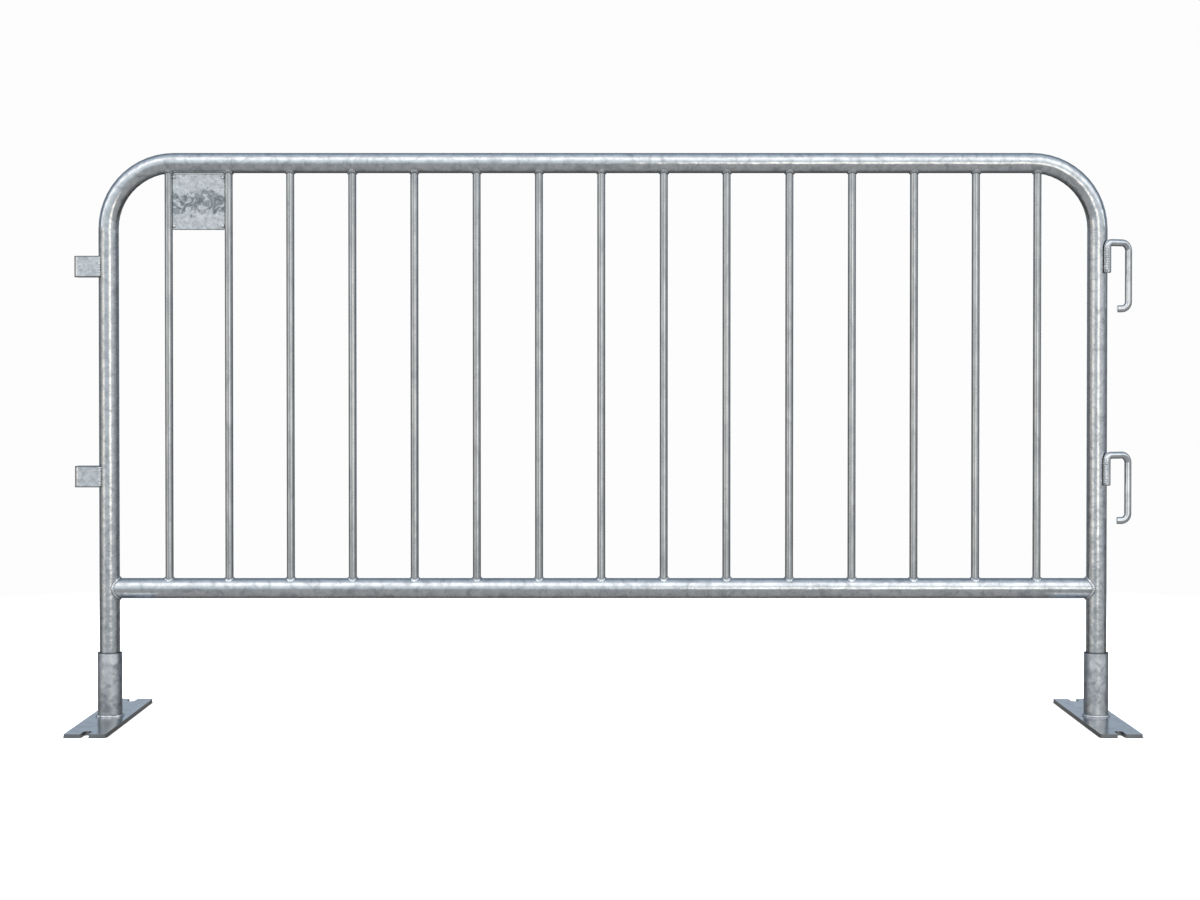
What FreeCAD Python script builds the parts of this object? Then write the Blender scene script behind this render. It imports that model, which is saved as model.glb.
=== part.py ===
import FreeCAD, Part
import math
import os

# Interlocking pedestrian barrier of welded, hot-dip galvanised steel tube, on two loose flat feet.
# +X runs along the barrier from the strap loops to the hooks, +Z is up, the origin is on the ground.
# All lengths are millimetres.

vec = FreeCAD.Vector
up = vec(0, 0, 1)
along = vec(1, 0, 0)
across = vec(0, 1, 0)

# Frame tube, bent once at each top corner
post_spacing = 1960.0
tube_radius = 20.0
tube_wall = 1.5
top_rail_height = 1104.0
bend_radius = 130.0

# Bottom rail, coped round the posts with its two sharp tips cut back
bottom_rail_height = 260.7
tip_trim = 11.0

# Upright bars, set out by hand: end_gap is from the -X post to the first bar, bar_gaps from bar to bar
bar_radius = 8.0
bar_wall = 1.2
end_gap = 119.0
bar_gaps = [119, 122, 123, 123, 123.5, 123.5, 123.5, 124, 124.5, 124.5, 124, 123, 122.5, 122]

# Blank plate between the first two bars
plate_height = 111.5
plate_thickness = 3.0
plate_drop = 0.8
plate_side_gap = 0.3
plate_tack_inset = 7.5

# Strap loops on the -X post, square U pieces of flat bar
strap_heights = {"upper": 898.8, "lower": 482.7}
strap_width = 42.0
strap_thickness = 5.0
strap_inner_gap = 22.0
strap_outer_corner = 10.0
strap_reach = 66.8

# Hooks on the +X post, bent from one round rod
hook_heights = {"upper": 945.6, "lower": 525.4}
rod_radius = 7.0
hook_reach = 69.0
hook_drop = 130.3
hook_tip_reach = 40.0
hook_root_length = 60.0
hook_root_angle = 54.0
root_bend = 9.0
hook_bend = 15.5
tip_bend = 13.5
rod_end_chamfer = 1.2
root_end_round = 3.0

# Feet
foot_length = 460.0
foot_width = 80.0
foot_thickness = 7.0
foot_corner = 5.0
notch_width = 16.0
notch_depth = 36.0
sleeve_outer_radius = 24.15
sleeve_wall = 3.25
sleeve_height = 126.5
post_lift = 0.3

# Air left between faces that only a weld joins
fit_gap = 0.05

# Weld metal
rail_weld_face = 1.5
rail_weld_throw = 3.5
bar_weld_spread = 4.2
bar_weld_rise = 4.0
bar_weld_sink = 4.4
tack_radius = 4.0
tack_depth = 4.5
bead_radius = 3.6
bead_end_gap = 3.0
# the bead piled on the front of a hook's root, placed from the post's axis
front_bead_x = 13.4
front_bead_y = -26.4
front_bead_radius = 4.8
strap_bead_gap = 1.0
foot_weld_leg = 5.0

# Worked out from the sizes above
post_x = post_spacing / 2
strap_x = -post_x - strap_reach
hook_x = post_x + hook_reach
bar_places = [end_gap - post_x + sum(bar_gaps[:number]) for number in range(len(bar_gaps) + 1)]
strap_half = strap_inner_gap / 2
strap_end = math.sqrt(tube_radius ** 2 - strap_half ** 2) + fit_gap


def cylinder(radius, start, direction, length):
    return Part.makeCylinder(radius, length, start, direction)


def box(low, high):
    return Part.makeBox(high[0] - low[0], high[1] - low[1], high[2] - low[2], vec(*low))


def bent_path(corners, bends):
    # Straight runs between the corners, with a tangent arc of the given radius at each inner corner.
    edges = []
    start = corners[0]
    for before, corner, after, bend in zip(corners, corners[1:], corners[2:], bends):
        back = (before - corner).normalize()
        ahead = (after - corner).normalize()
        half = back.getAngle(ahead) / 2
        first = corner + back * (bend / math.tan(half))
        last = corner + ahead * (bend / math.tan(half))
        inward = (back + ahead).normalize()
        middle = corner + inward * (bend / math.sin(half) - bend)
        edges.append(Part.LineSegment(start, first).toShape())
        edges.append(Part.Arc(first, middle, last).toShape())
        start = last
    edges.append(Part.LineSegment(start, corners[-1]).toShape())
    return Part.Wire(edges)


def bent_rod(corners, bends, radius):
    path = bent_path(corners, bends)
    circle = Part.makeCircle(radius, corners[0], corners[1] - corners[0])
    return path.makePipeShell([Part.Wire(circle)], True, True)


def frame_corners():
    foot = foot_thickness + post_lift
    return [vec(-post_x, 0, foot), vec(-post_x, 0, top_rail_height),
            vec(post_x, 0, top_rail_height), vec(post_x, 0, foot)]


def frame_solid(radius):
    return bent_rod(frame_corners(), [bend_radius, bend_radius], radius)


def make_frame_tube(outer):
    return outer.cut(frame_solid(tube_radius - tube_wall))


def post_cylinder(side, radius):
    return cylinder(radius, vec(side * post_x, 0, 0), up, top_rail_height - bend_radius)


def rail_cylinder(radius):
    return cylinder(radius, vec(-post_x, 0, bottom_rail_height), along, post_spacing)


def make_bottom_rail():
    rail = rail_cylinder(tube_radius).cut(rail_cylinder(tube_radius - tube_wall))
    for side in (-1, 1):
        rail = rail.cut(post_cylinder(side, tube_radius))
    low = [tip_trim - post_x, -2 * tube_radius, 0]
    high = [post_x - tip_trim, 2 * tube_radius, top_rail_height]
    return rail.common(box(low, high))


def make_rail_weld(side, bottom_rail):
    # The bead fills the valley between the rail's end and the post, and starts a little on the post's face.
    bead = rail_cylinder(tube_radius + rail_weld_face)
    bead = bead.common(post_cylinder(side, tube_radius + rail_weld_throw))
    inner = sorted([side * (post_x - tip_trim / 2), 0.0])
    end = box([inner[0], -2 * tube_radius, 0], [inner[1], 2 * tube_radius, top_rail_height])
    bead = bead.common(end).cut(post_cylinder(side, tube_radius))
    return bead.cut(bottom_rail).cut(rail_cylinder(tube_radius - tube_wall))


def make_bar(x, frame_outer, rail_outer):
    start = vec(x, 0, bottom_rail_height)
    length = top_rail_height - bottom_rail_height
    bar = cylinder(bar_radius, start, up, length).cut(cylinder(bar_radius - bar_wall, start, up, length))
    bar = bar.cut(frame_outer).cut(rail_outer)
    return bar


def bar_collar(x, tube_height, facing, tube_outer, plate):
    # A cone that flares from the bar to the tube, trimmed by both and by the plate beside it.
    crown = tube_height + facing * tube_radius
    start = vec(x, 0, crown - facing * bar_weld_sink)
    depth = bar_weld_sink + bar_weld_rise
    flare = Part.makeCone(bar_radius + bar_weld_spread, bar_radius, depth, start, up * facing)
    return flare.cut(cylinder(bar_radius, start, up * facing, depth)).cut(tube_outer).cut(plate)


def make_plate():
    left = bar_places[0] + bar_radius + plate_side_gap
    right = bar_places[1] - bar_radius - plate_side_gap
    top = top_rail_height - tube_radius - plate_drop
    half = plate_thickness / 2
    return box([left, -half, top - plate_height], [right, half, top])


def make_plate_tacks(plate):
    # Four blobs of weld, two on each side edge, standing out at the plate's front.
    size = plate.BoundBox
    tacks = []
    for x, bar_x in ((size.XMin, bar_places[0]), (size.XMax, bar_places[1])):
        bar = cylinder(bar_radius, vec(bar_x, 0, size.ZMin), up, plate_height)
        for z in (size.ZMin + plate_tack_inset, size.ZMax - plate_tack_inset):
            blob = Part.makeCone(tack_radius, tack_radius / 2, tack_depth, vec(x, 0, z), across * -1)
            tacks.append(blob.cut(plate).cut(bar))
    return Part.makeCompound(tacks)


def rounded_block(x_out, x_in, half_width, corner, low, high):
    # A block whose two vertical edges at x_out are rounded.
    block = box([x_out, -half_width, low], [x_in, half_width, high])
    edges = [e for e in block.Edges if abs(e.CenterOfMass.x - x_out) < 0.01 and e.BoundBox.ZLength > 1]
    return block.makeFillet(corner, edges)


def make_strap(height):
    low = height - strap_width / 2
    high = height + strap_width / 2
    end = -post_x - strap_end
    outer = rounded_block(strap_x, end, strap_half + strap_thickness, strap_outer_corner, low, high)
    inner = rounded_block(strap_x + strap_thickness, end + 1, strap_half,
                          strap_outer_corner - strap_thickness, low - 1, high + 1)
    return outer.cut(inner)


def make_strap_welds(height, strap):
    # An upright bead between each leg's end and the post.
    beads = []
    length = strap_width - 2 * strap_bead_gap
    for side in (-1, 1):
        start = vec(-post_x - strap_end, side * (strap_half + strap_thickness / 2), height - length / 2)
        bead = cylinder(bead_radius, start, up, length)
        beads.append(bead.cut(strap).cut(post_cylinder(-1, tube_radius)))
    return Part.makeCompound(beads)


def hook_root(height):
    angle = math.radians(hook_root_angle)
    distance = tube_radius + rod_radius
    return vec(post_x + distance * math.cos(angle), -distance * math.sin(angle), height)


def end_rims(rod, end):
    circles = [e for e in rod.Edges if e.isClosed() and e.Curve.TypeId == "Part::GeomCircle"]
    return [e for e in circles if (e.CenterOfMass - end).Length < 0.5]


def make_hook(height):
    # Upright root on the post, arm out to the mid-plane, long drop, and a tip turned back to the post.
    root = hook_root(height)
    outer_x = hook_x - rod_radius
    corners = [root - up * hook_root_length, root, vec(outer_x, 0, height),
               vec(outer_x, 0, height - hook_drop), vec(post_x + hook_tip_reach, 0, height - hook_drop)]
    rod = bent_rod(corners, [root_bend, hook_bend, tip_bend], rod_radius)
    rod = rod.makeChamfer(rod_end_chamfer, end_rims(rod, corners[-1]))
    return rod.makeFillet(root_end_round, end_rims(rod, corners[0]))


def make_hook_welds(height, hook):
    # In front, metal piled from the post's face over the side of the root; behind, a bead in the groove.
    low = height - hook_root_length + bead_end_gap
    length = hook_root_length - root_bend - bead_end_gap
    x = post_x + front_bead_x
    front = box([x - front_bead_radius, front_bead_y, low], [x + front_bead_radius, 0, low + length])
    front = front.fuse(cylinder(front_bead_radius, vec(x, front_bead_y, low), up, length))
    post = post_cylinder(1, tube_radius)
    front = min(front.cut(hook).cut(post).Solids, key=lambda solid: solid.BoundBox.YMin)
    from_post = tube_radius + bead_radius / 3
    from_rod = rod_radius + bead_radius / 3
    apart = tube_radius + rod_radius
    spread = math.acos((from_post ** 2 + apart ** 2 - from_rod ** 2) / (2 * from_post * apart))
    angle = math.radians(hook_root_angle) - spread
    start = vec(post_x + from_post * math.cos(angle), -from_post * math.sin(angle), low)
    back = cylinder(bead_radius, start, up, length).cut(hook).cut(post)
    return Part.makeCompound([front, back])


def make_foot_plate(x):
    low = [x - foot_width / 2, -foot_length / 2, 0]
    high = [x + foot_width / 2, foot_length / 2, foot_thickness]
    plate = box(low, high)
    plate = plate.makeFillet(foot_corner, [e for e in plate.Edges if e.BoundBox.ZLength > 1])
    half = notch_width / 2
    for side in (-1, 1):
        bottom = side * (foot_length / 2 - notch_depth + half)
        ends = sorted([bottom, side * foot_length])
        slot = box([x - half, ends[0], -1], [x + half, ends[1], foot_thickness + 1])
        slot = slot.fuse(cylinder(half, vec(x, bottom, -1), up, foot_thickness + 2))
        plate = plate.cut(slot)
    return plate


def make_sleeve(x):
    start = vec(x, 0, foot_thickness)
    outer = cylinder(sleeve_outer_radius, start, up, sleeve_height)
    return outer.cut(cylinder(sleeve_outer_radius - sleeve_wall, start, up, sleeve_height))


def make_foot_weld(x):
    start = vec(x, 0, foot_thickness)
    toe_radius = sleeve_outer_radius + foot_weld_leg
    ring = Part.makeCone(toe_radius, sleeve_outer_radius, foot_weld_leg, start, up)
    return ring.cut(cylinder(sleeve_outer_radius, start, up, foot_weld_leg))


def make_barrier():
    frame_outer = frame_solid(tube_radius)
    rail_outer = rail_cylinder(tube_radius)
    nodes = {}
    nodes["frame_tube"] = make_frame_tube(frame_outer)
    nodes["bottom_rail"] = make_bottom_rail()
    nodes["left_rail_weld"] = make_rail_weld(-1, nodes["bottom_rail"])
    nodes["right_rail_weld"] = make_rail_weld(1, nodes["bottom_rail"])
    for number, x in enumerate(bar_places, start=1):
        nodes["bar_%02d" % number] = make_bar(x, frame_outer, rail_outer)
    plate = make_plate()
    nodes["bar_top_welds"] = Part.makeCompound(
        [bar_collar(x, top_rail_height, -1, frame_outer, plate) for x in bar_places])
    nodes["bar_bottom_welds"] = Part.makeCompound(
        [bar_collar(x, bottom_rail_height, 1, rail_outer, plate) for x in bar_places])
    nodes["blank_plate"] = plate
    nodes["plate_tack_welds"] = make_plate_tacks(plate)
    for place, height in strap_heights.items():
        nodes[place + "_strap_loop"] = make_strap(height)
        nodes[place + "_strap_welds"] = make_strap_welds(height, nodes[place + "_strap_loop"])
    for place, height in hook_heights.items():
        nodes[place + "_hook"] = make_hook(height)
        nodes[place + "_hook_welds"] = make_hook_welds(height, nodes[place + "_hook"])
    for place, x in (("left", -post_x), ("right", post_x)):
        nodes[place + "_foot_plate"] = make_foot_plate(x)
        nodes[place + "_sleeve"] = make_sleeve(x)
        nodes[place + "_foot_weld"] = make_foot_weld(x)
    return nodes


def main():
    os.makedirs("parts", exist_ok=True)
    for name, shape in make_barrier().items():
        shape.exportStep("parts/%s.step" % name)
        print("%-20s solids %2d  valid %s  volume %10.0f mm3"
              % (name, len(shape.Solids), shape.isValid(), shape.Volume))


main()
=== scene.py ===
import math
import random

import bmesh
import bpy
from mathutils import Matrix, Vector, noise


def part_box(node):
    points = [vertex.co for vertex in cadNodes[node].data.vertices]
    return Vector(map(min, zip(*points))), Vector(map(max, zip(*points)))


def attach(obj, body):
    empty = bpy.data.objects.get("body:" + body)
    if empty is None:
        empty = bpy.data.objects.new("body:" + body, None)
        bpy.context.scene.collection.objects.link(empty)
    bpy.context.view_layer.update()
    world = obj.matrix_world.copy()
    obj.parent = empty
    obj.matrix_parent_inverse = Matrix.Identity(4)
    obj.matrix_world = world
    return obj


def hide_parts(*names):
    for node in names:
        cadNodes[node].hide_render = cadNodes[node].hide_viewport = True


# Hot-dip galvanised pedestrian barrier. Metres, +X towards the hooks, +Z up, front facing -Y.

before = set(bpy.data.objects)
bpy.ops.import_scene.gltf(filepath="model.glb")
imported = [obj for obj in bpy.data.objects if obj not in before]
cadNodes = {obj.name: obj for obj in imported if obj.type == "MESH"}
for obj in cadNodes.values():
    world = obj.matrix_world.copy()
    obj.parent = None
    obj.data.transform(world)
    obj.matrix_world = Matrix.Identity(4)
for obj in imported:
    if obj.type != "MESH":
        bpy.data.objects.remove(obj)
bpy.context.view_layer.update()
mm = 0.001
print("loaded", len(cadNodes), "frame nodes")


def finishPiece(bm, name, material, body, nodes, smoothAngle=35):
    bmesh.ops.remove_doubles(bm, verts=bm.verts[:], dist=0.00001)
    bmesh.ops.recalc_face_normals(bm, faces=bm.faces[:])
    for face in bm.faces:
        face.smooth = True
    for edge in bm.edges:
        edge.smooth = edge.calc_face_angle(0) < math.radians(smoothAngle)
    mesh = bpy.data.meshes.new(name)
    bm.to_mesh(mesh)
    bm.free()
    piece = bpy.data.objects.new(name, mesh)
    bpy.context.scene.collection.objects.link(piece)
    mesh.materials.append(material)
    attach(piece, body)
    if nodes:
        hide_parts(*nodes)
    return piece


def addBevel(piece, width, segments=3, angle=40):
    bevel = piece.modifiers.new("edges", "BEVEL")
    bevel.width = width
    bevel.segments = segments
    bevel.limit_method = "ANGLE"
    bevel.angle_limit = math.radians(angle)
    bevel.harden_normals = True


def fullSpin(bm, geom, steps):
    bmesh.ops.spin(bm, geom=geom, cent=(0, 0, 0), axis=(0, 0, 1), angle=math.tau, steps=steps,
                   use_merge=True)


def spunRing(bm, ringRadius, beadRadius, steps, sides=12):
    # a small circle in the XZ plane, spun once round Z
    made = bmesh.ops.create_circle(bm, segments=sides, radius=beadRadius)
    verts = made["verts"]
    bmesh.ops.rotate(bm, verts=verts, cent=(0, 0, 0), matrix=Matrix.Rotation(math.radians(90), 3, "X"))
    bmesh.ops.translate(bm, verts=verts, vec=(ringRadius, 0, 0))
    fullSpin(bm, verts + list({edge for vert in verts for edge in vert.link_edges}), steps)


def newVerts(bm, known):
    return [vert for vert in bm.verts if vert not in known]


def lathe(bm, profile, steps):
    # profile is a short list of (radius, height) corners
    verts = [bm.verts.new((radius, 0, height)) for radius, height in profile]
    edges = [bm.edges.new(pair) for pair in zip(verts, verts[1:])]
    fullSpin(bm, verts + edges, steps)


def lumpyStrip(bm, radius, low, high, centre, seed, ripple=0.10, pitch=3.2 * mm, depth=1.0):
    # an upright weld bead with rounded ends and the ripple of each puddle, depth times as deep as wide
    rng = random.Random(seed)
    known = set(bm.verts)
    count = max(8, int((high - low) / pitch) * 4)
    phase = rng.uniform(0, math.tau)
    profile = [(0.0, low)]
    for i in range(1, count):
        share = i / count
        height = low + (high - low) * share
        nearEnd = min(share, 1 - share) * (high - low)
        cap = math.sqrt(max(0.0, 1 - max(0.0, 1 - nearEnd / radius) ** 2))
        wave = 1 + ripple * math.sin(math.tau * height / pitch + phase)
        profile.append((radius * cap * wave, height))
    profile.append((0.0, high))
    lathe(bm, profile, 14)
    fresh = newVerts(bm, known)
    for vert in fresh:
        wobble = noise.noise(Vector((vert.co.x * 300, vert.co.y * 300, vert.co.z * 260 + seed)))
        vert.co.x *= 1 + 0.14 * wobble
        vert.co.y *= (1 - 0.14 * wobble) * depth
    bmesh.ops.translate(bm, verts=fresh, vec=(centre[0], centre[1], 0))


class Finish:
    # a node tree being put together
    def __init__(self, name):
        self.material = bpy.data.materials.new(name)
        self.material.use_nodes = True
        self.tree = self.material.node_tree
        self.shader = self.tree.nodes["Principled BSDF"]
        self.coords = self.add("ShaderNodeTexCoord").outputs["Object"]

    def add(self, kind, **settings):
        node = self.tree.nodes.new(kind)
        for key, value in settings.items():
            setattr(node, key, value)
        return node

    def link(self, source, target):
        self.tree.links.new(source, target)

    def mapping(self, scale):
        node = self.add("ShaderNodeMapping")
        node.inputs["Scale"].default_value = scale
        self.link(self.coords, node.inputs["Vector"])
        return node.outputs["Vector"]

    def noise(self, vector, scale, detail=2.0, roughness=0.5, distortion=0.0):
        node = self.add("ShaderNodeTexNoise")
        node.inputs["Scale"].default_value = scale
        node.inputs["Detail"].default_value = detail
        node.inputs["Roughness"].default_value = roughness
        node.inputs["Distortion"].default_value = distortion
        self.link(vector, node.inputs["Vector"])
        return node.outputs["Fac"]

    def remap(self, value, low, high, toLow, toHigh):
        node = self.add("ShaderNodeMapRange", clamp=True)
        node.inputs["From Min"].default_value = low
        node.inputs["From Max"].default_value = high
        node.inputs["To Min"].default_value = toLow
        node.inputs["To Max"].default_value = toHigh
        self.link(value, node.inputs["Value"])
        return node.outputs["Result"]

    def math(self, operation, first, second):
        node = self.add("ShaderNodeMath", operation=operation)
        for socket, value in zip(node.inputs, (first, second)):
            if isinstance(value, float):
                socket.default_value = value
            else:
                self.link(value, socket)
        return node.outputs["Value"]

    def ramp(self, value, stops):
        node = self.add("ShaderNodeValToRGB")
        fillRamp(node.color_ramp, stops)
        self.link(value, node.inputs["Fac"])
        return node.outputs["Color"]

    def blend(self, share, first, second, kind="MIX"):
        node = self.add("ShaderNodeMix", data_type="RGBA", blend_type=kind)
        sockets = (node.inputs[0], node.inputs[6], node.inputs[7])
        for socket, value in zip(sockets, (share, first, second)):
            if isinstance(value, (float, tuple)):
                socket.default_value = value
            else:
                self.link(value, socket)
        return node.outputs[2]

    def bump(self, height, distance, below=None):
        node = self.add("ShaderNodeBump")
        node.inputs["Strength"].default_value = 1.0
        node.inputs["Distance"].default_value = distance
        self.link(height, node.inputs["Height"])
        if below is not None:
            self.link(below, node.inputs["Normal"])
        return node.outputs["Normal"]


def fillRamp(ramp, stops):
    while len(ramp.elements) < len(stops):
        ramp.elements.new(1.0)
    for element, (place, colour) in zip(ramp.elements, stops):
        element.position = place
        element.color = (*colour, 1.0)


def paintEdgeShade(finish, colour, heights, width, tone):
    # painted shade: dark lines at the given heights, where shadow falls along the rims and in the gaps beside
    # them
    split = finish.add("ShaderNodeSeparateXYZ")
    finish.link(finish.coords, split.inputs["Vector"])
    for height in heights:
        away = finish.math("ABSOLUTE", finish.math("SUBTRACT", split.outputs["Z"], height), 0.0)
        colour = finish.blend(finish.remap(away, width * 0.5, width, 0.8, 0.0), colour, (*tone, 1.0))
    return colour


def zincFinish(name, look):
    # blotches and spangle under pits, painted shade darkening the corners, and four sizes of unevenness
    finish = Finish(name)
    shader = finish.shader
    vector = finish.mapping(look.get("stretch", (1, 1, 1)))
    blotch = finish.noise(vector, look["blotchScale"], 3.0, 0.55, 0.8)
    speck = finish.noise(vector, look["speckScale"], 2.0, 0.6, 0.3)
    wave = finish.noise(vector, look["waveScale"], 1.5, 0.5, 0.2)
    ripple = finish.noise(vector, look["rippleScale"], 2.0, 0.55, 0.4)
    grain = finish.noise(vector, 1400.0, 2.0, 0.6)
    cells = finish.add("ShaderNodeTexVoronoi")
    cells.inputs["Scale"].default_value = look["spangleScale"]
    finish.link(vector, cells.inputs["Vector"])
    spangle = cells.outputs["Color"]

    colour = finish.ramp(blotch, [(0.32, look["dark"]), (0.46, look["middle"]), (0.62, look["light"])])
    spangleTone = finish.remap(spangle, 0.0, 1.0, 1 - look["spangle"], 1.0)
    tone = finish.add("ShaderNodeCombineColor")
    for socket in tone.inputs[:3]:
        finish.link(spangleTone, socket)
    colour = finish.blend(1.0, colour, tone.outputs["Color"], "MULTIPLY")
    pit = finish.remap(speck, look["speckAbove"], look["speckAbove"] + 0.07, 0.0, look["speckShare"])
    colour = finish.blend(pit, colour, (*look["speckColour"], 1.0))
    # painted shade: the colour goes dark where ambient occlusion finds other surfaces close by
    if "crevice" in look:
        corner = finish.add("ShaderNodeAmbientOcclusion", samples=8)
        corner.inputs["Distance"].default_value = look["crevice"]
        grime = finish.remap(corner.outputs["AO"], 0.30, 0.80, 0.85, 0.0)
        colour = finish.blend(grime, colour, (*look["grimeColour"], 1.0))
    # painted shade lines along the rims
    if "edges" in look:
        colour = paintEdgeShade(finish, colour, look["edges"], look["edgeWidth"], look["edgeShadeColour"])
    finish.link(colour, shader.inputs["Base Color"])

    rough = finish.remap(blotch, 0.35, 0.65, look["rough"][1], look["rough"][0])
    rough = finish.math("ADD", rough, finish.remap(spangle, 0.0, 1.0, -0.03, 0.03))
    rough = finish.math("ADD", rough, finish.math("MULTIPLY", pit, 0.15))
    finish.link(rough, shader.inputs["Roughness"])

    normal = finish.bump(wave, look["waveHeight"])
    normal = finish.bump(ripple, look["rippleHeight"], below=normal)
    normal = finish.bump(grain, look["grainHeight"], below=normal)
    normal = finish.bump(finish.math("MULTIPLY", pit, -1.0), 0.00004, below=normal)
    finish.link(normal, shader.inputs["Normal"])
    shader.inputs["Metallic"].default_value = 1.0
    return finish


tubeLook = {
    "dark": (0.46, 0.48, 0.50), "middle": (0.60, 0.62, 0.635), "light": (0.70, 0.715, 0.725),
    "blotchScale": 62.0, "spangleScale": 150.0, "spangle": 0.05,
    "speckScale": 190.0, "speckAbove": 0.66, "speckShare": 0.5, "speckColour": (0.22, 0.22, 0.22),
    "waveScale": 42.0, "waveHeight": 0.0007, "rippleScale": 130.0, "rippleHeight": 0.00012,
    "grainHeight": 0.000003, "rough": (0.12, 0.22),
    # painted shade in the corners: how far it reaches and its colour
    "crevice": 0.004, "grimeColour": (0.06, 0.065, 0.07),
}
railLook = {**tubeLook, "blotchScale": 52.0, "waveScale": 36.0}
barLook = {**tubeLook, "blotchScale": 60.0, "waveScale": 45.0, "waveHeight": 0.0002,
           "rippleScale": 190.0, "rippleHeight": 0.00003, "stretch": (1, 1, 0.3), "rough": (0.14, 0.20),
           "dark": (0.41, 0.42, 0.43), "middle": (0.47, 0.48, 0.485), "light": (0.54, 0.55, 0.555),
           "speckShare": 0.35}
sleeveLook = {**tubeLook, "blotchScale": 58.0, "waveScale": 56.0, "waveHeight": 0.0010, "rough": (0.38, 0.52),
              "dark": (0.29, 0.305, 0.32), "middle": (0.41, 0.425, 0.44), "light": (0.53, 0.545, 0.555),
              # painted shade line along the sleeve's top rim
              "edges": [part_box("left_sleeve")[1].z], "edgeWidth": 0.0022, "edgeShadeColour": (0.05, 0.055, 0.06)}
rodLook = {**barLook, "spangle": 0.03, "stretch": (1, 1, 1), "waveHeight": 0.00012, "rough": (0.09, 0.14),
           "dark": (0.54, 0.56, 0.58), "middle": (0.62, 0.635, 0.65), "light": (0.70, 0.715, 0.725)}
strapEdges = [corner.z for place in ("upper", "lower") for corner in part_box(place + "_strap_loop")]
flatLook = {
    "dark": (0.60, 0.615, 0.625), "middle": (0.73, 0.745, 0.75), "light": (0.84, 0.85, 0.85),
    "blotchScale": 120.0, "spangleScale": 200.0, "spangle": 0.10,
    "speckScale": 260.0, "speckAbove": 0.62, "speckShare": 0.4, "speckColour": (0.34, 0.36, 0.38),
    "waveScale": 70.0, "waveHeight": 0.0009, "rippleScale": 230.0, "rippleHeight": 0.00014,
    "grainHeight": 0.000006, "rough": (0.17, 0.28),
    "crevice": 0.003, "grimeColour": (0.07, 0.075, 0.08),
    # painted shade lines along the straps' top and bottom edges
    "edges": strapEdges, "edgeWidth": 0.0028, "edgeShadeColour": (0.09, 0.10, 0.11),
}
footLook = {
    "dark": (0.50, 0.52, 0.54), "middle": (0.57, 0.59, 0.61), "light": (0.63, 0.645, 0.66),
    "blotchScale": 24.0, "spangleScale": 120.0, "spangle": 0.04,
    "speckScale": 120.0, "speckAbove": 0.70, "speckShare": 0.3, "speckColour": (0.28, 0.28, 0.28),
    "waveScale": 14.0, "waveHeight": 0.00025, "rippleScale": 90.0, "rippleHeight": 0.00002,
    "grainHeight": 0.000003, "rough": (0.14, 0.22), "sideShadeColour": (0.32, 0.325, 0.33),
}
weldLook = {
    "dark": (0.52, 0.54, 0.56), "middle": (0.68, 0.695, 0.71), "light": (0.82, 0.835, 0.845),
    "blotchScale": 220.0, "spangleScale": 500.0, "spangle": 0.06,
    "speckScale": 380.0, "speckAbove": 0.60, "speckShare": 0.5, "speckColour": (0.20, 0.20, 0.21),
    "waveScale": 150.0, "waveHeight": 0.0004, "rippleScale": 500.0, "rippleHeight": 0.00008,
    "grainHeight": 0.000006, "rough": (0.26, 0.40),
    "crevice": 0.003, "grimeColour": (0.05, 0.055, 0.06),
}
tackLook = {**weldLook, "rough": (0.42, 0.55), "crevice": 0.0012,
            "dark": (0.62, 0.635, 0.65), "middle": (0.86, 0.865, 0.87), "light": (0.93, 0.935, 0.94)}
pileLook = {**weldLook, "rough": (0.45, 0.55), "crevice": 0.002, "speckAbove": 0.62, "speckShare": 0.7,
            "dark": (0.64, 0.655, 0.67), "middle": (0.86, 0.87, 0.875), "light": (0.97, 0.97, 0.97)}
plateLook = {**flatLook, "blotchScale": 90.0, "waveScale": 60.0, "waveHeight": 0.0011,
             "rippleHeight": 0.00018,
             "dark": (0.56, 0.575, 0.585), "middle": (0.70, 0.71, 0.715), "light": (0.83, 0.835, 0.84),
             "speckAbove": 0.59, "speckShare": 0.6, "speckColour": (0.26, 0.28, 0.30), "rough": (0.26, 0.40),
             # painted shade lines along the plate's top and bottom edges
             "edges": [corner.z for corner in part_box("blank_plate")], "edgeWidth": 0.0020,
             "edgeShadeColour": (0.07, 0.075, 0.08)}
# heights in metres, then the tones of the stain, its puddles and their outlines
plateBand = {
    "middle": 1.026, "half": 0.019, "fade": 0.003, "wander": 0.016,
    "stain": (0.33, 0.355, 0.375), "deep": (0.21, 0.235, 0.255), "rim": (0.09, 0.10, 0.115),
}


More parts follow.
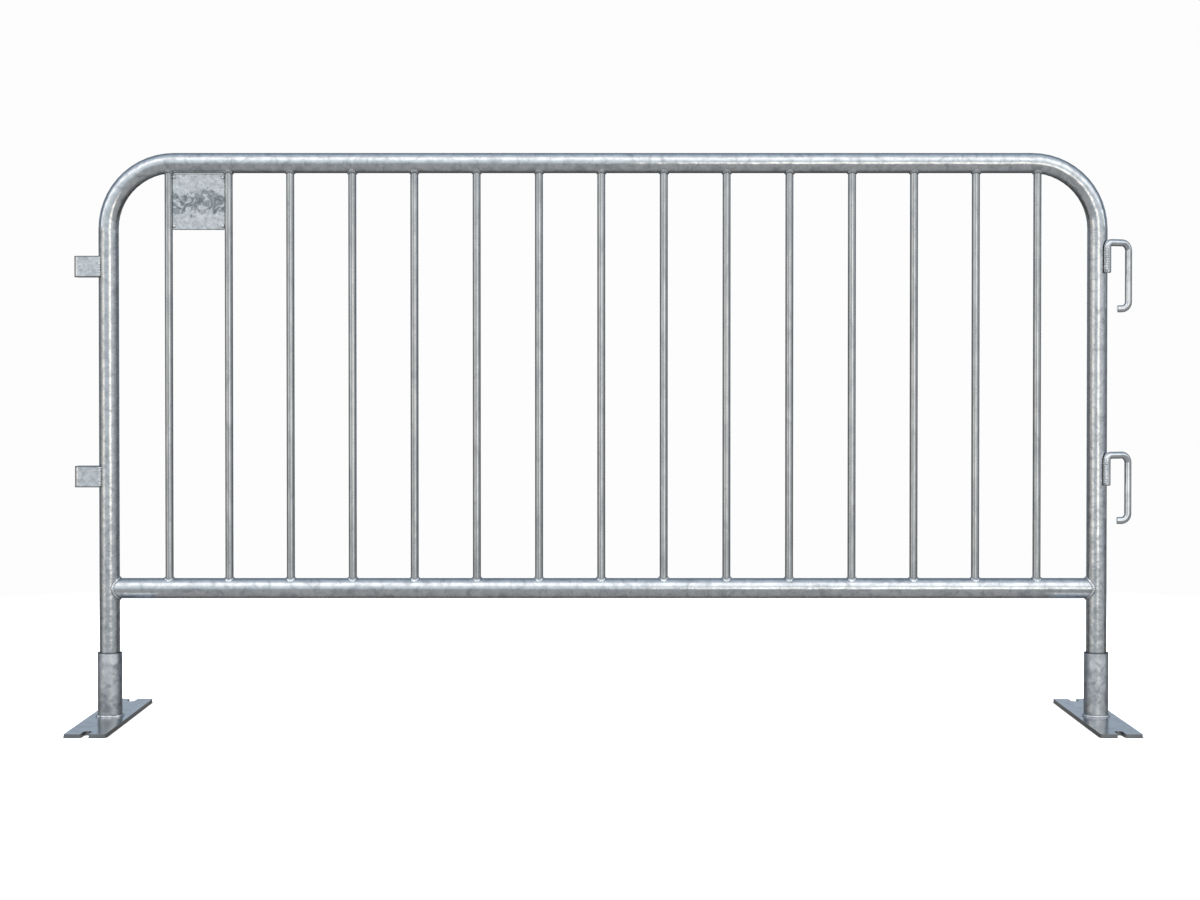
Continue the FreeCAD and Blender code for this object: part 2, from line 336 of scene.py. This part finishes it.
def plateFinish(name, look, band):
    # the zinc finish with a swirled, darker band of patina across the middle
    finish = zincFinish(name, look)
    base = finish.shader.inputs["Base Color"].links[0].from_socket
    split = finish.add("ShaderNodeSeparateXYZ")
    finish.link(finish.coords, split.inputs["Vector"])
    drift = finish.noise(finish.coords, 34.0, 3.0, 0.6)
    wander = finish.remap(drift, 0.3, 0.7, -band["wander"], band["wander"])
    height = finish.math("ADD", split.outputs["Z"], wander)
    away = finish.math("ABSOLUTE", finish.math("SUBTRACT", height, band["middle"]), 0.0)
    mask = finish.remap(away, band["half"] - band["fade"], band["half"] + band["fade"], 1.0, 0.0)
    swirl = finish.noise(finish.coords, 46.0, 3.0, 0.5, 2.6)
    patch = finish.remap(swirl, 0.44, 0.47, 0.0, 0.8)
    colour = finish.blend(finish.math("MULTIPLY", mask, patch), base, (*band["stain"], 1.0))
    puddle = finish.math("MULTIPLY", mask, finish.remap(swirl, 0.56, 0.58, 0.0, 0.8))
    colour = finish.blend(puddle, colour, (*band["deep"], 1.0))
    line = finish.ramp(swirl, [
        (0.43, (0, 0, 0)), (0.452, (1, 1, 1)), (0.475, (0, 0, 0)),
        (0.548, (0, 0, 0)), (0.565, (1, 1, 1)), (0.585, (0, 0, 0)),
    ])
    rim = finish.math("MULTIPLY", finish.math("MULTIPLY", mask, line), 0.75)
    colour = finish.blend(rim, colour, (*band["rim"], 1.0))
    finish.link(colour, finish.shader.inputs["Base Color"])
    return finish


def footFinish(name, look):
    # flat faces as dipped, upright faces darker by which way they face: painted shade
    finish = zincFinish(name, look)
    base = finish.shader.inputs["Base Color"].links[0].from_socket
    split = finish.add("ShaderNodeSeparateXYZ")
    finish.link(finish.tree.nodes["Texture Coordinate"].outputs["Normal"], split.inputs["Vector"])
    flat = finish.math("ABSOLUTE", split.outputs["Z"], 0.0)
    # painted shade: faces that stand upright are darkened
    sideShade = finish.remap(flat, 0.35, 0.9, 1.0, 0.0)
    colour = finish.blend(sideShade, base, (*look["sideShadeColour"], 1.0))
    finish.link(colour, finish.shader.inputs["Base Color"])
    return finish


tubeZinc = zincFinish("galvanised tube", tubeLook).material
railZinc = zincFinish("galvanised rail", railLook).material
barZinc = zincFinish("galvanised bar", barLook).material
sleeveZinc = zincFinish("galvanised sleeve", sleeveLook).material
rodZinc = zincFinish("galvanised rod", rodLook).material
flatZinc = zincFinish("galvanised flat bar", flatLook).material
plateZinc = plateFinish("galvanised blank plate", plateLook, plateBand).material
footZinc = footFinish("galvanised base plate", footLook).material
weldZinc = zincFinish("galvanised weld", weldLook).material
tackZinc = zincFinish("galvanised tack", tackLook).material
pileZinc = zincFinish("galvanised weld pile", pileLook).material
print("finishes made")


def paint(name, material):
    mesh = cadNodes[name].data
    mesh.materials.clear()
    mesh.materials.append(material)


paint("frame_tube", tubeZinc)
paint("bottom_rail", railZinc)
paint("upper_hook", rodZinc)
paint("lower_hook", rodZinc)
barNames = sorted(name for name in cadNodes if name.startswith("bar_") and name[4:].isdigit())
for name in barNames:
    paint(name, barZinc)


railWeld = {
    "beadRadius": 3.1 * mm, "sideOffset": 9.0 * mm,
    "ripples": 34, "ripple": 0.10, "unevenness": 0.16, "steps": 136,
}
postX = 0.98
tubeRadius = 20 * mm
railHeight = 0.5 * (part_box("bottom_rail")[0].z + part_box("bottom_rail")[1].z)


def makeRailWeld(side, name):
    # a bead that follows the coped end of the rail round the post
    bm = bmesh.new()
    spunRing(bm, tubeRadius, railWeld["beadRadius"], railWeld["steps"])
    upright = Matrix.Rotation(math.radians(90), 3, "Y")
    bmesh.ops.rotate(bm, verts=bm.verts[:], cent=(0, 0, 0), matrix=upright)
    for vert in bm.verts:
        turn = math.atan2(vert.co.y, vert.co.z)
        away = math.hypot(vert.co.y, vert.co.z)
        swell = railWeld["ripple"] * math.sin(railWeld["ripples"] * turn + side)
        swell += railWeld["unevenness"] * noise.noise(Vector((turn * 3.0, side * 4.0, 0.5)))
        vert.co.x *= 1 + swell
        scale = (tubeRadius + (away - tubeRadius) * (1 + swell)) / away
        vert.co.y *= scale
        vert.co.z *= scale
        offset = math.hypot(tubeRadius * math.cos(turn), railWeld["sideOffset"] * math.sin(turn))
        vert.co.x += side * (postX - offset)
    bmesh.ops.translate(bm, verts=bm.verts[:], vec=(0, 0, railHeight))
    finishPiece(bm, name + "_bead", weldZinc, "frame", [name], 60)


makeRailWeld(-1, "left_rail_weld")
makeRailWeld(1, "right_rail_weld")
print("rail welds made")


barWeld = {
    "ringRadius": 7.9 * mm, "beadRadius": 2.4 * mm, "ripple": 0.07, "ripples": 11, "unevenness": 0.35,
    "lift": 0.3 * mm, "steps": 66, "depth": 1.42,
}
barPlaces = [0.5 * (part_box(name)[0].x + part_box(name)[1].x) for name in barNames]
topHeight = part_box("frame_tube")[1].z - tubeRadius


def makeBarWelds(name, tubeHeight, facing, seed):
    # one rippled collar for each bar, saddled on the tube
    rng = random.Random(seed)
    bm = bmesh.new()
    for x in barPlaces:
        known = set(bm.verts)
        spunRing(bm, barWeld["ringRadius"], barWeld["beadRadius"], barWeld["steps"], 10)
        phase = rng.uniform(0, math.tau)
        lift = rng.uniform(-barWeld["lift"], barWeld["lift"])
        drift = rng.uniform(0, 50)
        fresh = newVerts(bm, known)
        for vert in fresh:
            turn = math.atan2(vert.co.y, vert.co.x)
            away = math.hypot(vert.co.x, vert.co.y)
            swell = barWeld["ripple"] * math.sin(barWeld["ripples"] * turn + phase)
            spot = Vector((math.cos(turn) * 1.3, math.sin(turn) * 1.3, drift))
            swell += barWeld["unevenness"] * noise.noise(spot)
            wide = barWeld["ringRadius"] + (away - barWeld["ringRadius"]) * (1 + swell)
            vert.co.x *= wide / away
            vert.co.y *= wide / away
            vert.co.y *= barWeld["depth"]
            vert.co.z *= 1 + swell
            saddle = math.sqrt(tubeRadius ** 2 - min(vert.co.y ** 2, 0.0003))
            vert.co.z += facing * saddle + tubeHeight + lift
        bmesh.ops.translate(bm, verts=fresh, vec=(x, 0, 0))
    finishPiece(bm, name + "_beads", weldZinc, "frame", [name], 60)


makeBarWelds("bar_top_welds", topHeight, -1, 11)
makeBarWelds("bar_bottom_welds", railHeight, 1, 12)
print("bar welds made")


plateSettings = {
    "corner": 1.2 * mm, "edge": 0.6 * mm,
    "tackRadius": 3.5 * mm, "tackInset": 7.5 * mm, "tackSide": 3 * mm, "tackOut": 0.6 * mm,
}


def makeBlankPlate():
    low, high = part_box("blank_plate")
    bm = bmesh.new()
    corners = [(low.x, low.z), (high.x, low.z), (high.x, high.z), (low.x, high.z)]
    verts = [bm.verts.new((x, low.y, z)) for x, z in corners]
    bmesh.ops.contextual_create(bm, geom=verts)
    bmesh.ops.bevel(bm, geom=bm.verts[:], offset=plateSettings["corner"], offset_type="OFFSET", segments=3,
                    profile=0.5, affect="VERTICES", material=-1)
    out = bmesh.ops.extrude_face_region(bm, geom=bm.faces[:])
    moved = [item for item in out["geom"] if isinstance(item, bmesh.types.BMVert)]
    bmesh.ops.translate(bm, verts=moved, vec=(0, high.y - low.y, 0))
    piece = finishPiece(bm, "blank_plate_sheet", plateZinc, "frame", ["blank_plate"])
    addBevel(piece, plateSettings["edge"])


def makePlateTacks():
    low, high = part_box("blank_plate")
    rng = random.Random(5)
    bm = bmesh.new()
    side = plateSettings["tackSide"]
    inset = plateSettings["tackInset"]
    radius = plateSettings["tackRadius"]
    for x in (low.x + side, high.x - side):
        for z in (low.z + inset, high.z - inset):
            fresh = bmesh.ops.create_icosphere(bm, subdivisions=3, radius=radius)["verts"]
            turn = rng.uniform(0, 40)
            for vert in fresh:
                vert.co *= 1 + 0.12 * noise.noise(vert.co * 260 + Vector((turn, 0, 0)))
            bmesh.ops.translate(bm, verts=fresh, vec=(x, low.y - plateSettings["tackOut"], z))
    finishPiece(bm, "plate_tacks", tackZinc, "frame", ["plate_tack_welds"], 80)


makeBlankPlate()
makePlateTacks()
print("blank plate made")


strap = {
    "thickness": 5 * mm, "corner": 7.5 * mm, "edge": 0.9 * mm,
    "beadRadius": 3.5 * mm, "beadGap": 0.5 * mm, "beadOut": 0.4 * mm,
}


def makeStrap(place):
    name = place + "_strap_loop"
    low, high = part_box(name)
    half = strap["thickness"] / 2
    outerX = low.x + half
    sideY = high.y - half
    bm = bmesh.new()
    path = [(high.x, -sideY), (outerX, -sideY), (outerX, sideY), (high.x, sideY)]
    verts = [bm.verts.new((x, y, low.z)) for x, y in path]
    for pair in zip(verts, verts[1:]):
        bm.edges.new(pair)
    bmesh.ops.bevel(bm, geom=verts[1:3], offset=strap["corner"], offset_type="OFFSET", segments=8,
                    profile=0.5, affect="VERTICES", material=-1)
    out = bmesh.ops.extrude_edge_only(bm, edges=bm.edges[:])
    moved = [item for item in out["geom"] if isinstance(item, bmesh.types.BMVert)]
    bmesh.ops.translate(bm, verts=moved, vec=(0, 0, high.z - low.z))
    piece = finishPiece(bm, name + "_bar", flatZinc, "frame", [name])
    wall = piece.modifiers.new("thickness", "SOLIDIFY")
    wall.thickness = strap["thickness"]
    wall.offset = 0
    wall.use_even_offset = True
    addBevel(piece, strap["edge"], 3, 50)


def makeStrapWelds(place):
    name = place + "_strap_welds"
    low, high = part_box(place + "_strap_loop")
    gap = strap["beadGap"]
    sideY = high.y - strap["thickness"] / 2
    bm = bmesh.new()
    for number, side in enumerate((-1, 1)):
        centre = (high.x + strap["beadOut"], side * sideY)
        lumpyStrip(bm, strap["beadRadius"], low.z + gap, high.z - gap, centre, number + len(place) * 3)
    finishPiece(bm, name + "_beads", weldZinc, "frame", [name], 60)


for place in ("upper", "lower"):
    makeStrap(place)
    makeStrapWelds(place)
print("strap loops made")


hookWeld = {
    "rodRadius": 7 * mm, "rootAngle": 54, "ripple": 0.10,
    "frontX": 13.3 * mm, "frontY": -23.6 * mm, "frontRadius": 4.6 * mm, "frontDepth": 1.7,
    "backRadius": 3.3 * mm,
}


def makeHookWelds(place):
    # metal piled over the front of the upright root, and a bead in the groove behind it
    name = place + "_hook_welds"
    low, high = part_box(name)
    bottom = low.z
    top = high.z
    bead = hookWeld["backRadius"]
    fromPost = tubeRadius + bead * 0.35
    fromRod = hookWeld["rodRadius"] + bead * 0.35
    apart = tubeRadius + hookWeld["rodRadius"]
    spread = math.acos((fromPost ** 2 + apart ** 2 - fromRod ** 2) / (2 * fromPost * apart))
    angle = math.radians(hookWeld["rootAngle"]) - spread
    back = (postX + fromPost * math.cos(angle), -fromPost * math.sin(angle))
    front = (postX + hookWeld["frontX"], hookWeld["frontY"])
    seed = 30 + len(place)
    bm = bmesh.new()
    lumpyStrip(bm, hookWeld["frontRadius"], bottom, top, front, seed, hookWeld["ripple"], 3.4 * mm,
               hookWeld["frontDepth"])
    lumpyStrip(bm, bead, bottom, top, back, seed + 1, hookWeld["ripple"], 3.0 * mm)
    finishPiece(bm, name + "_beads", pileZinc, "frame", [name], 60)


for place in ("upper", "lower"):
    makeHookWelds(place)
print("hook welds made")


foot = {
    "corner": 2.5 * mm, "notchWidth": 16 * mm, "notchDepth": 36 * mm, "edge": 0.7 * mm,
    "wall": 3.25 * mm, "rim": 0.9 * mm,
    "weldRadius": 3.1 * mm, "weldOut": 0.9 * mm, "weldRise": 0.6 * mm,
    "weldRipples": 30, "weldUnevenness": 0.45,
}


def makeFootPlate(place, body):
    name = place + "_foot_plate"
    low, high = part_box(name)
    middle = 0.5 * (low.x + high.x)
    half = foot["notchWidth"] / 2
    depth = foot["notchDepth"]
    bm = bmesh.new()
    left = middle - half
    right = middle + half
    outline = [
        (low.x, low.y), (left, low.y), (left, low.y + depth),
        (right, low.y + depth), (right, low.y), (high.x, low.y),
        (high.x, high.y), (right, high.y), (right, high.y - depth),
        (left, high.y - depth), (left, high.y), (low.x, high.y),
    ]
    verts = [bm.verts.new((x, y, low.z)) for x, y in outline]
    bm.faces.new(verts)
    outer = [verts[i] for i in (0, 5, 6, 11)]
    inner = [verts[i] for i in (2, 3, 8, 9)]
    bmesh.ops.bevel(bm, geom=outer, offset=foot["corner"], offset_type="OFFSET", segments=5,
                    profile=0.5, affect="VERTICES", material=-1)
    bmesh.ops.bevel(bm, geom=inner, offset=half * 0.999, offset_type="OFFSET", segments=8,
                    profile=0.5, affect="VERTICES", material=-1)
    out = bmesh.ops.extrude_face_region(bm, geom=bm.faces[:])
    moved = [item for item in out["geom"] if isinstance(item, bmesh.types.BMVert)]
    bmesh.ops.translate(bm, verts=moved, vec=(0, 0, high.z - low.z))
    piece = finishPiece(bm, name + "_flat", footZinc, body, [name])
    addBevel(piece, foot["edge"])


def makeSleeve(place, body):
    name = place + "_sleeve"
    low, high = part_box(name)
    outer = 0.5 * (high.x - low.x)
    inner = outer - foot["wall"]
    rim = foot["rim"]
    nick = rim * 0.3
    profile = [
        (inner, low.z), (inner, high.z - rim), (inner + nick, high.z - nick), (inner + rim, high.z),
        (outer - rim, high.z), (outer - nick, high.z - nick), (outer, high.z - rim),
        (outer, low.z), (inner, low.z),
    ]
    bm = bmesh.new()
    lathe(bm, profile, 96)
    bmesh.ops.translate(bm, verts=bm.verts[:], vec=(0.5 * (low.x + high.x), 0, 0))
    finishPiece(bm, name + "_tube", sleeveZinc, body, [name], 50)


def makeFootWeld(place, body):
    name = place + "_foot_weld"
    low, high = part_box(place + "_sleeve")
    outer = 0.5 * (high.x - low.x)
    middle = 0.5 * (low.x + high.x)
    bm = bmesh.new()
    spunRing(bm, outer + foot["weldOut"], foot["weldRadius"], 176, 10)
    for vert in bm.verts:
        turn = math.atan2(vert.co.y, vert.co.x)
        away = math.hypot(vert.co.x, vert.co.y)
        swell = 0.05 * math.sin(foot["weldRipples"] * turn)
        spot = Vector((math.cos(turn) * 3.2, math.sin(turn) * 3.2, middle * 7))
        swell += foot["weldUnevenness"] * noise.noise(spot)
        wide = outer + (away - outer) * (1 + swell)
        vert.co.x *= wide / away
        vert.co.y *= wide / away
        vert.co.z *= 1 + swell
    bmesh.ops.translate(bm, verts=bm.verts[:], vec=(middle, 0, low.z + foot["weldRise"]))
    finishPiece(bm, name + "_bead", weldZinc, body, [name], 60)


for place in ("left", "right"):
    body = place + "_foot"
    makeFootPlate(place, body)
    makeSleeve(place, body)
    makeFootWeld(place, body)
print("feet made")


floorSettings = {
    "size": 9.0, "colour": (0.88, 0.88, 0.88), "clearFrom": 1.7, "clearTo": 3.0,
    # painted contact shadow on the floor: how far it reaches and its colour
    "crevice": 0.010, "creviceColour": (0.03, 0.03, 0.03),
}


def makeFloor():
    bm = bmesh.new()
    bmesh.ops.create_grid(bm, x_segments=6, y_segments=6, size=floorSettings["size"] / 2)
    mesh = bpy.data.meshes.new("floor")
    bm.to_mesh(mesh)
    bm.free()
    floor = bpy.data.objects.new("floor", mesh)
    bpy.context.scene.collection.objects.link(floor)
    floor.location.z = -0.0005
    floor.visible_glossy = False
    finish = Finish("pale floor")
    # painted shadow: the floor goes dark where ambient occlusion finds the feet within this distance
    crevice = finish.add("ShaderNodeAmbientOcclusion")
    crevice.inputs["Distance"].default_value = floorSettings["crevice"]
    shade = finish.remap(crevice.outputs["AO"], 0.55, 0.88, 1.0, 0.0)
    colour = finish.blend(shade, (*floorSettings["colour"], 1.0), (*floorSettings["creviceColour"], 1.0))
    finish.link(colour, finish.shader.inputs["Base Color"])
    finish.shader.inputs["Roughness"].default_value = 0.9
    finish.shader.inputs["Specular IOR Level"].default_value = 0.0
    length = finish.add("ShaderNodeVectorMath", operation="LENGTH")
    finish.link(finish.coords, length.inputs[0])
    near = floorSettings["clearFrom"]
    far = floorSettings["clearTo"]
    share = finish.remap(length.outputs["Value"], near, far, 0.0, 1.0)
    clear = finish.add("ShaderNodeBsdfTransparent")
    both = finish.add("ShaderNodeMixShader")
    finish.link(share, both.inputs[0])
    finish.link(finish.shader.outputs[0], both.inputs[1])
    finish.link(clear.outputs[0], both.inputs[2])
    finish.link(both.outputs[0], finish.tree.nodes["Material Output"].inputs["Surface"])
    mesh.materials.append(finish.material)


studio = {
    "backdrop": 0.98,
    # what stands round the barrier near eye level, by angle from the front, + to the right
    "round": [
        (-180, (1.10, 1.15, 1.20)), (-170, (0.95, 1.00, 1.05)), (-158, (0.18, 0.21, 0.24)),
        (-146, (0.17, 0.19, 0.21)), (-102, (0.22, 0.225, 0.235)), (-86, (0.46, 0.45, 0.44)),
        (-68, (0.62, 0.61, 0.59)), (-62, (1.28, 1.22, 1.14)), (-43, (1.22, 1.18, 1.12)),
        (-37, (0.68, 0.74, 0.80)), (-9, (0.66, 0.71, 0.76)), (12, (0.74, 0.77, 0.80)),
        (30, (0.82, 0.85, 0.87)), (46, (0.74, 0.76, 0.79)), (62, (0.58, 0.61, 0.65)),
        (76, (0.36, 0.39, 0.42)), (98, (0.27, 0.29, 0.31)), (112, (0.20, 0.22, 0.25)),
        (148, (0.17, 0.19, 0.22)), (158, (0.19, 0.22, 0.26)), (170, (0.95, 1.00, 1.05)),
        (180, (1.10, 1.15, 1.20)),
    ],
    # and over it, by angle up from the front: 90 is overhead, 180 the horizon behind, below 0 the ground
    "over": [
        (-180, (0.20, 0.20, 0.20)), (-165, (0.16, 0.16, 0.16)), (-148, (0.05, 0.05, 0.05)),
        (-118, (0.15, 0.15, 0.155)), (-97, (0.31, 0.315, 0.32)), (-78, (0.38, 0.38, 0.385)),
        (-50, (0.41, 0.415, 0.425)),
        (-9, (0.41, 0.44, 0.46)), (-4, (0.50, 0.54, 0.56)), (4, (0.70, 0.77, 0.81)),
        (16, (0.88, 0.96, 1.02)), (28, (1.06, 1.14, 1.20)), (36, (1.50, 1.52, 1.54)),
        (58, (1.60, 1.61, 1.63)), (66, (0.92, 0.99, 1.07)), (88, (0.60, 0.69, 0.80)),
        (104, (0.47, 0.56, 0.66)), (122, (0.22, 0.28, 0.35)), (152, (0.14, 0.17, 0.21)),
        (164, (0.34, 0.41, 0.50)), (180, (0.37, 0.45, 0.55)),
    ],
    # how much of the second ring is mixed in, by height: none at eye level, all well above and below
    "mix": [(0.43, (1, 1, 1)), (0.475, (0, 0, 0)), (0.52, (0, 0, 0)), (0.575, (1, 1, 1))],
}


def makeWorld():
    world = bpy.data.worlds.new("studio")
    bpy.context.scene.world = world
    world.use_nodes = True
    tree = world.node_tree
    tree.nodes.clear()

    def calc(operation, first, second):
        node = tree.nodes.new("ShaderNodeMath")
        node.operation = operation
        for socket, value in zip(node.inputs, (first, second)):
            if isinstance(value, (int, float)):
                socket.default_value = value
            else:
                tree.links.new(value, socket)
        return node.outputs["Value"]

    def ramp(value, stops, interpolation="LINEAR"):
        node = tree.nodes.new("ShaderNodeValToRGB")
        fillRamp(node.color_ramp, stops)
        node.color_ramp.interpolation = interpolation
        tree.links.new(value, node.inputs["Fac"])
        return node.outputs["Color"]

    def turnRamp(first, second, stops):
        turn = calc("MULTIPLY_ADD", calc("ARCTAN2", first, second), 1 / math.tau)
        turn.node.inputs[2].default_value = 0.5
        return ramp(turn, [(angle / 360 + 0.5, colour) for angle, colour in stops])

    coords = tree.nodes.new("ShaderNodeTexCoord")
    split = tree.nodes.new("ShaderNodeSeparateXYZ")
    tree.links.new(coords.outputs["Generated"], split.inputs["Vector"])
    x, y, z = split.outputs
    forward = calc("MULTIPLY", y, -1.0)
    around = turnRamp(x, forward, studio["round"])
    above = turnRamp(z, forward, studio["over"])
    tilt = calc("MULTIPLY_ADD", z, 0.5)
    tilt.node.inputs[2].default_value = 0.5
    share = ramp(tilt, studio["mix"], "EASE")
    mix = tree.nodes.new("ShaderNodeMix")
    mix.data_type = "RGBA"
    tree.links.new(share, mix.inputs[0])
    tree.links.new(around, mix.inputs[6])
    tree.links.new(above, mix.inputs[7])
    surroundings = tree.nodes.new("ShaderNodeBackground")
    tree.links.new(mix.outputs[2], surroundings.inputs["Color"])
    backdrop = tree.nodes.new("ShaderNodeBackground")
    level = studio["backdrop"]
    backdrop.inputs["Color"].default_value = (level, level, level, 1.0)
    rays = tree.nodes.new("ShaderNodeLightPath")
    both = tree.nodes.new("ShaderNodeMixShader")
    tree.links.new(rays.outputs["Is Camera Ray"], both.inputs[0])
    tree.links.new(surroundings.outputs[0], both.inputs[1])
    tree.links.new(backdrop.outputs[0], both.inputs[2])
    output = tree.nodes.new("ShaderNodeOutputWorld")
    tree.links.new(both.outputs[0], output.inputs["Surface"])


lamps = {
    "front": {
        "place": (-0.8, -3.2, 3.4), "size": (1.6, 1.6), "power": 40, "colour": (1, 1, 1), "seen": False,
    },
    "overhead": {
        "place": (0.0, 0.3, 4.2), "size": (5.0, 5.0), "power": 420, "colour": (1, 1, 1), "seen": False,
    },
    # the only lamp that shows in the metal: one warm stripe down each upright
    "strip": {
        "place": (1.47, -5.64, 0.64), "size": (2.3, 1.8), "power": 14, "colour": (1, 0.90, 0.78),
        "seen": True,
    },
}


def makeLamp(name, settings):
    light = bpy.data.lights.new(name, "AREA")
    light.shape = "RECTANGLE" if settings["seen"] else "ELLIPSE"
    light.size, light.size_y = settings["size"]
    light.energy = settings["power"]
    light.color = settings["colour"]
    lamp = bpy.data.objects.new(name, light)
    bpy.context.scene.collection.objects.link(lamp)
    lamp.location = settings["place"]
    target = Vector((0, 0, 0.5)) - lamp.location
    lamp.rotation_euler = target.to_track_quat("-Z", "Y").to_euler()
    lamp.visible_camera = False
    lamp.visible_glossy = settings["seen"]


view = {"place": (-0.006, -4.582, 0.7135), "lens": 69.27, "shift": -0.048, "down": 0.8}


def makeCamera():
    data = bpy.data.cameras.new("camera")
    data.lens = view["lens"]
    data.shift_y = view["shift"]
    camera = bpy.data.objects.new("camera", data)
    bpy.context.scene.collection.objects.link(camera)
    camera.location = view["place"]
    camera.rotation_euler = (math.radians(90 - view["down"]), 0, 0)
    bpy.context.scene.camera = camera


makeFloor()
makeWorld()
for name, settings in lamps.items():
    makeLamp(name, settings)
makeCamera()
bpy.context.scene.view_settings.view_transform = "Standard"
print("stage made")
